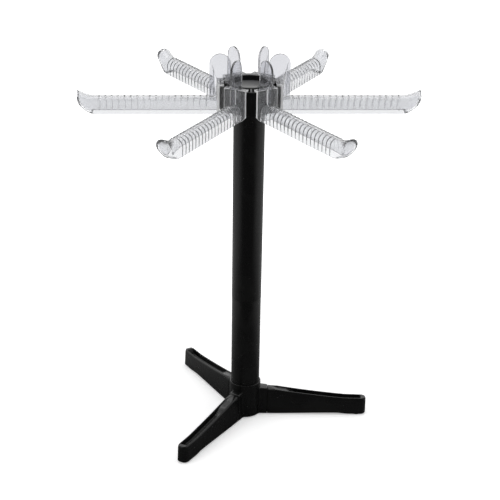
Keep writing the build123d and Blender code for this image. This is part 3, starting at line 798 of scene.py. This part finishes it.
def whole_outline(right, open_foot):
    """An outline from its right half: the half, its mirror image and a row of three along the foot."""
    edge, foot = ARM_HALF - ARM_WALL, ARM_FOOT
    if not open_foot:
        edge, foot = right[0][0] * 0.5, right[0][1]
    return right + [(-y, z) for y, z in reversed(right[:-1])] + [(-edge, foot), (0.0, foot), (edge, foot)]


def channel(bm):
    """The channel and its turned-up end: an outer and an inner skin, joined along the open foot."""
    ribs = {}
    for rib in RIB_REACHES:
        for offset, proud in RIB_SHAPE:
            ribs[round(rib + offset, 4)] = proud
    reaches = ROOT_REACHES + list(ribs) + TIP_REACHES
    open_until = len(reaches) - 1
    reaches += [BOW_START + BOW * math.sin(math.radians(turn)) for turn in BOW_TURNS]
    outer, inner = [], []
    for index, reach in enumerate(reaches):
        open_foot = index <= open_until
        right = arm_section(reach, ribs.get(reach, 0.0), 0.0)
        outer.append([bm.verts.new((reach, y, z)) for y, z in whole_outline(right, open_foot)])
        past = max(0.0, reach - BOW_START) * (BOW - ARM_WALL) / BOW
        near = min(reach, BOW_START) + past
        right = arm_section(near, 0.0, ARM_WALL)
        if open_foot:
            half = arm_half(near) - ARM_WALL
            wall = [(half, ARM_FOOT + ARM_WALL * step / CORNER_STEPS) for step in range(CORNER_STEPS + 1)]
            right = wall + right[len(wall):]
        inner.append([bm.verts.new((near, y, z)) for y, z in whole_outline(right, open_foot)])
    full = len(outer[0])
    foot_start = full - 4
    for rows in (outer, inner):
        for index in range(len(rows) - 1):
            low, high = rows[index], rows[index + 1]
            for column in range(foot_start if index < open_until else full):
                following = (column + 1) % full
                bm.faces.new((low[column], low[following], high[following], high[column]))
    for index in range(open_until):
        for column in (0, foot_start):
            outer_edge = (outer[index][column], outer[index + 1][column])
            inner_edge = (inner[index + 1][column], inner[index][column])
            bm.faces.new(outer_edge + inner_edge)
    for row, columns in ((open_until, range(foot_start, full)), (0, range(foot_start))):
        for column in columns:
            following = (column + 1) % full
            outer_edge = (outer[row][column], outer[row][following])
            inner_edge = (inner[row][following], inner[row][column])
            bm.faces.new(outer_edge + inner_edge)
    bm.faces.new(outer[-1])
    bm.faces.new(inner[-1])


def rounded_block(name, outline, spread, rounding, placing=None):
    """A flat-sided block with rounded edges: an outline spread evenly both ways from the middle."""
    sharp_turn = math.radians(50)
    bm = bmesh.new()
    skin(bm, [[(x, side, z) for x, z in outline] for side in (-spread, spread)])
    bmesh.ops.recalc_face_normals(bm, faces=bm.faces)
    rim = [edge for edge in bm.edges if edge.calc_face_angle() > sharp_turn]
    bmesh.ops.bevel(bm, geom=rim, offset=rounding, segments=3, profile=0.5, affect="EDGES")
    if placing:
        bmesh.ops.transform(bm, matrix=placing, verts=bm.verts)
    return finish_mesh(name, bm)


def bead(bm, line):
    """A thin round bead along a line on the plate's outer face."""
    out = Vector((1, 0, 0))
    rings = []
    for index, point in enumerate(line):
        run = (line[min(index + 1, len(line) - 1)] - line[max(index - 1, 0)]).normalized()
        across = run.cross(out).normalized()
        ring = []
        for side in range(BEAD_SIDES):
            angle = 2 * math.pi * side / BEAD_SIDES
            ring.append(point + BEAD * (out * math.cos(angle) + across * math.sin(angle)))
        rings.append(ring)
    skin(bm, rings)


def apply_modifiers(piece):
    """Gives a piece the mesh that its modifiers make of it."""
    bpy.context.view_layer.update()
    made = piece.evaluated_get(bpy.context.evaluated_depsgraph_get())
    mesh = bpy.data.meshes.new_from_object(made)
    piece.modifiers.clear()
    piece.data = mesh


def fused(name, solids):
    """Solids that overlap, fused into one skin with even shading on its broad faces."""
    whole = solids[0]
    for solid in solids[1:]:
        join = whole.modifiers.new("join", "BOOLEAN")
        join.operation = "UNION"
        join.solver = "EXACT"
        join.object = solid
        apply_modifiers(whole)
    for solid in solids[1:]:
        bpy.data.objects.remove(solid)
    bm = bmesh.new()
    bm.from_mesh(whole.data)
    bmesh.ops.scale(bm, vec=(1 / MM, 1 / MM, 1 / MM), verts=bm.verts)
    bpy.data.objects.remove(whole)
    piece = finish_mesh(name, bm, sharp=28)
    even = piece.modifiers.new("even", "WEIGHTED_NORMAL")
    even.keep_sharp = True
    even.weight = 100
    apply_modifiers(piece)
    return piece


bm = bmesh.new()
channel(bm)
solids = [finish_mesh("channel", bm)]

plate_middle = Matrix.Translation(((PLATE_NEAR + PLATE_FAR) / 2, 0, 0))
solids.append(rounded_block("plate", [
    (-PLATE_HALF, HOOK_TOP),
    (-PLATE_HALF, ARM_FOOT + PLATE_CORNER),
    (-PLATE_HALF + PLATE_CORNER, ARM_FOOT),
    (PLATE_HALF - PLATE_CORNER, ARM_FOOT),
    (PLATE_HALF, ARM_FOOT + PLATE_CORNER),
    (PLATE_HALF, HOOK_TOP),
], (PLATE_FAR - PLATE_NEAR) / 2, PLATE_ROUND, plate_middle @ Matrix.Rotation(math.radians(90), 4, "Z")))

solids.append(rounded_block("hook", [
    (HOOK_BACK, WALL_TOP),
    (HOOK_FRONT, WALL_TOP),
    (HOOK_FRONT, HOOK_TOP),
    (HOOK_BACK, HOOK_TOP),
], HOOK_HALF, PLATE_ROUND))

solids.append(rounded_block("tongue", [
    (TONGUE_BACK, TONGUE_FOOT),
    (TONGUE_FRONT, TONGUE_FOOT),
    (TONGUE_FRONT, OVERLAP_TOP),
    (TONGUE_BACK, OVERLAP_TOP),
], TONGUE_HALF, TONGUE_ROUND))

tab_radius = (TAB_FAR - TAB_NEAR) / 2
tab = [
    (TAB_FAR, TAB_ROOT),
    (TAB_BACK, TAB_ROOT),
    (TAB_BACK, OVERLAP_TOP),
    (TAB_NOTCH, OVERLAP_TOP),
    (TAB_NOTCH, TAB_NOTCH_TOP),
    (TAB_NEAR, TAB_NOTCH_TOP),
]
for step in range(TAB_STEPS + 1):
    turn = math.radians(180 - 180 * step / TAB_STEPS)
    reach = TAB_NEAR + tab_radius + tab_radius * math.cos(turn)
    tab.append((reach, TAB_TOP - tab_radius + tab_radius * math.sin(turn)))
solids.append(rounded_block("tab", list(reversed(tab)), TAB_HALF, TAB_ROUND))

crown = arm_section(PLATE_FAR, 0.0, 0.0)[CORNER_STEPS + 1:]
arch = [(ARM_HALF, ARM_FOOT)] + crown + [(-y, z) for y, z in reversed(crown[:-1])] + [(-ARM_HALF, ARM_FOOT)]
bead_lines = [arch]
for side in (-TAB_BEAD_SIDE, TAB_BEAD_SIDE):
    bead_lines.append([(side, TAB_BEAD_FOOT), (side, TAB_BEAD_TOP)])
bm = bmesh.new()
for line in bead_lines:
    bead(bm, [Vector((PLATE_FAR, y, z)) for y, z in line])
solids.append(finish_mesh("beads", bm))

arm_model = fused("arm_1_moulding", solids)


def gets_painted_highlight(middle, normal):
    """Whether a face is on a rounded edge of the plate or the hook, or on a root bead, where the painted
    highlight goes.
    """
    edge_band = 0.35
    tab_side = 2.0
    on_hook = HOOK_BACK - 0.1 < middle.x and WALL_TOP < middle.z
    below_top = middle.z < HOOK_TOP
    on_plate = (PLATE_NEAR < middle.x or on_hook) and middle.x < PLATE_FAR + PLATE_ROUND and below_top
    side_edge = abs(middle.y) > PLATE_HALF - edge_band - max(0.0, ARM_FOOT + PLATE_CORNER - middle.z)
    inside_top = HOOK_BACK + PLATE_ROUND < middle.x < PLATE_FAR - PLATE_ROUND
    top_edge = on_hook and middle.z > HOOK_TOP - PLATE_ROUND and not inside_top
    proud = PLATE_FAR + 0.02 < middle.x < PLATE_FAR + BEAD + 0.01
    on_bead = proud and below_top and abs(normal.x) > 0.05
    beside_tab = middle.z <= ARM_TOP + 0.7 or abs(middle.y) < tab_side
    return on_plate and (side_edge or top_edge) or on_bead and beside_tab


skins = (clear, tab_frost, painted_highlight_edge, painted_shade_tab_rim)
for material in skins:
    arm_model.data.materials.append(material)
for face in arm_model.data.polygons:
    middle = face.center * (1 / MM)
    if gets_painted_highlight(middle, face.normal):
        # Painted highlight: the whiter, cloudier plastic.
        face.material_index = skins.index(painted_highlight_edge)
    elif middle.z > RING_TOP + 1.5:
        # Painted shade: the finger tab's rim faces get the dark grey plastic.
        face.material_index = skins.index(tab_frost if abs(face.normal.y) > 0.9 else painted_shade_tab_rim)

arm_model.data.transform(Matrix.Rotation(math.radians(ARM_TWIST), 4, "Z"))
for number, angle in enumerate(ARM_ANGLES, start=1):
    arm = arm_model if number == 1 else spun_copy(arm_model, f"arm_{number}_moulding", angle - ARM_TWIST)
    dress(arm, clear, f"arm_{number}", "clear_plastic", f"arm_{number}")


# Screws, washers, plug and spring: zinc-plated steel and drawn wire, and the black plug that the
# pivot screw bites into. They keep the shapes they were drawn with and only get their finish.
def plated_steel(name, colour, roughness):
    """Zinc plate or bright wire: metal that smudges dull a little, with a roughness that drifts."""
    dulled_share = 0.7
    material = bpy.data.materials.new(name)
    material.use_nodes = True
    nodes, links = material.node_tree.nodes, material.node_tree.links
    shader = nodes["Principled BSDF"]
    shader.inputs["Metallic"].default_value = 1.0
    marks = place_marks(nodes, smudge=350.0, grain=3000.0, roughness=roughness, variation=0.2)
    tint = nodes.new("ShaderNodeMix")
    tint.data_type = "RGBA"
    tint.inputs["A"].default_value = (*colour, 1)
    tint.inputs["B"].default_value = (*[dulled_share * value for value in colour], 1)
    links.new(marks.outputs["Smudge"], tint.inputs["Factor"])
    links.new(tint.outputs["Result"], shader.inputs["Base Color"])
    links.new(marks.outputs["Roughness"], shader.inputs["Roughness"])
    return material


zinc = plated_steel("zinc_plated_steel", colour=(0.62, 0.62, 0.6), roughness=0.3)
wire = plated_steel("spring_wire", colour=(0.5, 0.5, 0.52), roughness=0.25)
for node, finish in (
    ("pivot_screw", zinc), ("pivot_washer", zinc), ("base_screw", zinc), ("base_washer", zinc),
    ("lock_spring", wire), ("top_plug", satin_black),
):
    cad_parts[node].data.materials.clear()
    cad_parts[node].data.materials.append(finish)


# Table: a pale, matt top that ends just in front of the rack. It glows softly to the camera, more
# so away from the rack, and its image in the black skins is darkened as painted shade, most of all near its
# front.
TABLE_SIDE = 1.6
TABLE_FRONT = -0.26
TABLE_BACK = 2.6

bm = bmesh.new()
table_corners = (
    (-TABLE_SIDE, TABLE_FRONT), (TABLE_SIDE, TABLE_FRONT),
    (TABLE_SIDE, TABLE_BACK), (-TABLE_SIDE, TABLE_BACK),
)
bm.faces.new([bm.verts.new((x, y, 0.0)) for x, y in table_corners])
mesh = bpy.data.meshes.new("table")
bm.to_mesh(mesh)
bm.free()
table = bpy.data.objects.new("table", mesh)
bpy.context.scene.collection.objects.link(table)
table_paint = bpy.data.materials.new("table_white")
table_paint.use_nodes = True
nodes, links = table_paint.node_tree.nodes, table_paint.node_tree.links
matt = nodes["Principled BSDF"]
matt.inputs["Base Color"].default_value = (0.86, 0.86, 0.86, 1)
matt.inputs["Roughness"].default_value = 0.9
matt.inputs["Specular IOR Level"].default_value = 0.0
path = nodes.new("ShaderNodeLightPath")
spot = nodes.new("ShaderNodeNewGeometry")

seen = nodes.new("ShaderNodeMath")
seen.operation = "MULTIPLY_ADD"
seen.inputs[1].default_value = 0.55
links.new(path.outputs["Is Transmission Ray"], seen.inputs[0])
links.new(path.outputs["Is Camera Ray"], seen.inputs[2])
from_axis = nodes.new("ShaderNodeVectorMath")
from_axis.operation = "LENGTH"
links.new(spot.outputs["Position"], from_axis.inputs[0])
brighter = nodes.new("ShaderNodeMapRange")
brighter.interpolation_type = "SMOOTHSTEP"
brighter.inputs["From Min"].default_value = 0.16
brighter.inputs["From Max"].default_value = 0.5
brighter.inputs["To Min"].default_value = 0.36
brighter.inputs["To Max"].default_value = 0.9
links.new(from_axis.outputs["Value"], brighter.inputs["Value"])
lift = nodes.new("ShaderNodeMath")
lift.operation = "MULTIPLY"
links.new(seen.outputs["Value"], lift.inputs[0])
links.new(brighter.outputs["Result"], lift.inputs[1])
glow = nodes.new("ShaderNodeEmission")
links.new(lift.outputs["Value"], glow.inputs["Strength"])
both = nodes.new("ShaderNodeAddShader")
links.new(matt.outputs["BSDF"], both.inputs[0])
links.new(glow.outputs["Emission"], both.inputs[1])

# Painted shade: rays mirrored off the skins see the table mixed towards black, most of all near its front.
from_front = nodes.new("ShaderNodeVectorMath")
from_front.operation = "DISTANCE"
from_front.inputs[1].default_value = (0.0, -0.25, 0.0)
links.new(spot.outputs["Position"], from_front.inputs[0])
shaded = nodes.new("ShaderNodeMapRange")
shaded.interpolation_type = "SMOOTHSTEP"
shaded.inputs["From Min"].default_value = 0.2
shaded.inputs["From Max"].default_value = 0.62
shaded.inputs["To Min"].default_value = 0.9
shaded.inputs["To Max"].default_value = 0.4
links.new(from_front.outputs["Value"], shaded.inputs["Value"])
mirror_only = nodes.new("ShaderNodeMath")
mirror_only.operation = "SUBTRACT"
mirror_only.use_clamp = True
links.new(path.outputs["Is Glossy Ray"], mirror_only.inputs[0])
links.new(path.outputs["Is Transmission Ray"], mirror_only.inputs[1])
under = nodes.new("ShaderNodeMath")
under.operation = "MULTIPLY"
links.new(mirror_only.outputs["Value"], under.inputs[0])
links.new(shaded.outputs["Result"], under.inputs[1])
reflected_shade_black = nodes.new("ShaderNodeBsdfDiffuse")
reflected_shade_black.inputs["Color"].default_value = (0.0, 0.0, 0.0, 1)
shade = nodes.new("ShaderNodeMixShader")
links.new(under.outputs["Value"], shade.inputs["Fac"])
links.new(both.outputs["Shader"], shade.inputs[1])
links.new(reflected_shade_black.outputs["BSDF"], shade.inputs[2])
links.new(shade.outputs["Shader"], nodes["Material Output"].inputs["Surface"])
mesh.materials.append(table_paint)


# Room: white to the camera, with greys from front to back for the black plastic's rounded sides
# to mirror and greys from floor to ceiling for the clear plastic's edges to bend.
world = bpy.data.worlds.new("white_room")
bpy.context.scene.world = world
world.use_nodes = True
nodes, links = world.node_tree.nodes, world.node_tree.links
room = nodes["Background"]
place = nodes.new("ShaderNodeTexCoord")
split = nodes.new("ShaderNodeSeparateXYZ")
links.new(place.outputs["Generated"], split.inputs["Vector"])


def graded(value, low, high, stops):
    """A smooth scale of greys over a value that runs from low to high."""
    scale = nodes.new("ShaderNodeMapRange")
    scale.inputs["From Min"].default_value = low
    scale.inputs["From Max"].default_value = high
    links.new(value, scale.inputs["Value"])
    greys = nodes.new("ShaderNodeValToRGB")
    greys.color_ramp.interpolation = "EASE"
    first, last = greys.color_ramp.elements
    first.position, last.position = stops[0][0], stops[-1][0]
    first.color, last.color = (*[stops[0][1]] * 3, 1), (*[stops[-1][1]] * 3, 1)
    for position, grey in stops[1:-1]:
        greys.color_ramp.elements.new(position).color = (grey, grey, grey, 1)
    links.new(scale.outputs["Result"], greys.inputs["Fac"])
    return greys.outputs["Color"]


def mixed(factor, first, second):
    """The first colour where the factor is 0 and the second where it is 1."""
    mix = nodes.new("ShaderNodeMix")
    mix.data_type = "RGBA"
    links.new(factor, mix.inputs["Factor"])
    for socket, colour in (("A", first), ("B", second)):
        if isinstance(colour, float):
            mix.inputs[socket].default_value = (colour, colour, colour, 1)
        else:
            links.new(colour, mix.inputs[socket])
    return mix.outputs["Result"]


FRONT_TO_BACK = ((0.0, 0.05), (0.14, 0.06), (0.27, 0.3), (0.5, 0.5), (0.8, 0.9), (1.0, 1.1))
FLOOR_TO_CEILING = ((0.0, 0.3), (0.3, 0.45), (0.46, 0.95), (0.72, 0.95), (0.88, 0.5), (1.0, 0.35))
ROOM_LIGHT = 0.5
BACKDROP = 1.0

path = nodes.new("ShaderNodeLightPath")
mirrored = graded(split.outputs["Y"], -1.0, 1.0, FRONT_TO_BACK)
refracted = graded(split.outputs["Z"], -1.0, 1.0, FLOOR_TO_CEILING)
lit = mixed(path.outputs["Is Glossy Ray"], ROOM_LIGHT, mirrored)
lit = mixed(path.outputs["Is Transmission Ray"], lit, refracted)
links.new(mixed(path.outputs["Is Camera Ray"], lit, BACKDROP), room.inputs["Color"])


# Lamps: a broad softbox on the left, a weaker one on the right and one overhead, each aimed at
# the column. Only the one overhead shows as a highlight in the glossy skins.
def softbox(name, place, aim, width, height, power, shows=False):
    """A soft rectangular lamp that looks at a point; it is mirrored in glossy skins if it shows."""
    lamp = bpy.data.lights.new(name, "AREA")
    lamp.shape = "RECTANGLE"
    lamp.size = width
    lamp.size_y = height
    lamp.energy = power
    held = bpy.data.objects.new(name, lamp)
    held.location = place
    held.visible_glossy = shows
    held.rotation_euler = (Vector(aim) - Vector(place)).to_track_quat("-Z", "Y").to_euler()
    bpy.context.scene.collection.objects.link(held)


softbox("left_softbox", place=(-1.3, -0.7, 0.9), aim=(0, 0, 0.25), width=1.2, height=1.2, power=9.0)
softbox("right_softbox", place=(1.4, -0.3, 0.9), aim=(0, 0, 0.25), width=0.9, height=1.2, power=5.0)
softbox("top_softbox", place=(0.0, 0.3, 1.7), aim=(0, 0, 0.2), width=1.4, height=1.4, power=10.0, shows=True)


# Camera: a long lens that looks down at the rack from in front, as in the photo. Its place, tilt
# and slight roll were fitted to the arm tips, tabs, seams and legs.
CAMERA_LENS = 116.97
CAMERA_PLACE = (0.00308, -1.6302, 0.8934)
CAMERA_ORBIT = -0.48
CAMERA_DOWN = 23.07
CAMERA_ROLL = 0.95

camera = bpy.data.cameras.new("camera")
camera.lens = CAMERA_LENS
camera.sensor_width = 36.0
camera.clip_start = 0.05
camera.clip_end = 50.0
eye = bpy.data.objects.new("camera", camera)
bpy.context.scene.collection.objects.link(eye)
orbit = Matrix.Rotation(math.radians(CAMERA_ORBIT), 4, "Z")
tilt = Matrix.Rotation(math.radians(90 - CAMERA_DOWN), 4, "X")
roll = Matrix.Rotation(math.radians(CAMERA_ROLL), 4, "Z")
eye.matrix_world = orbit @ Matrix.Translation(CAMERA_PLACE) @ tilt @ roll
bpy.context.scene.camera = eye
bpy.context.scene.view_settings.view_transform = "Standard"
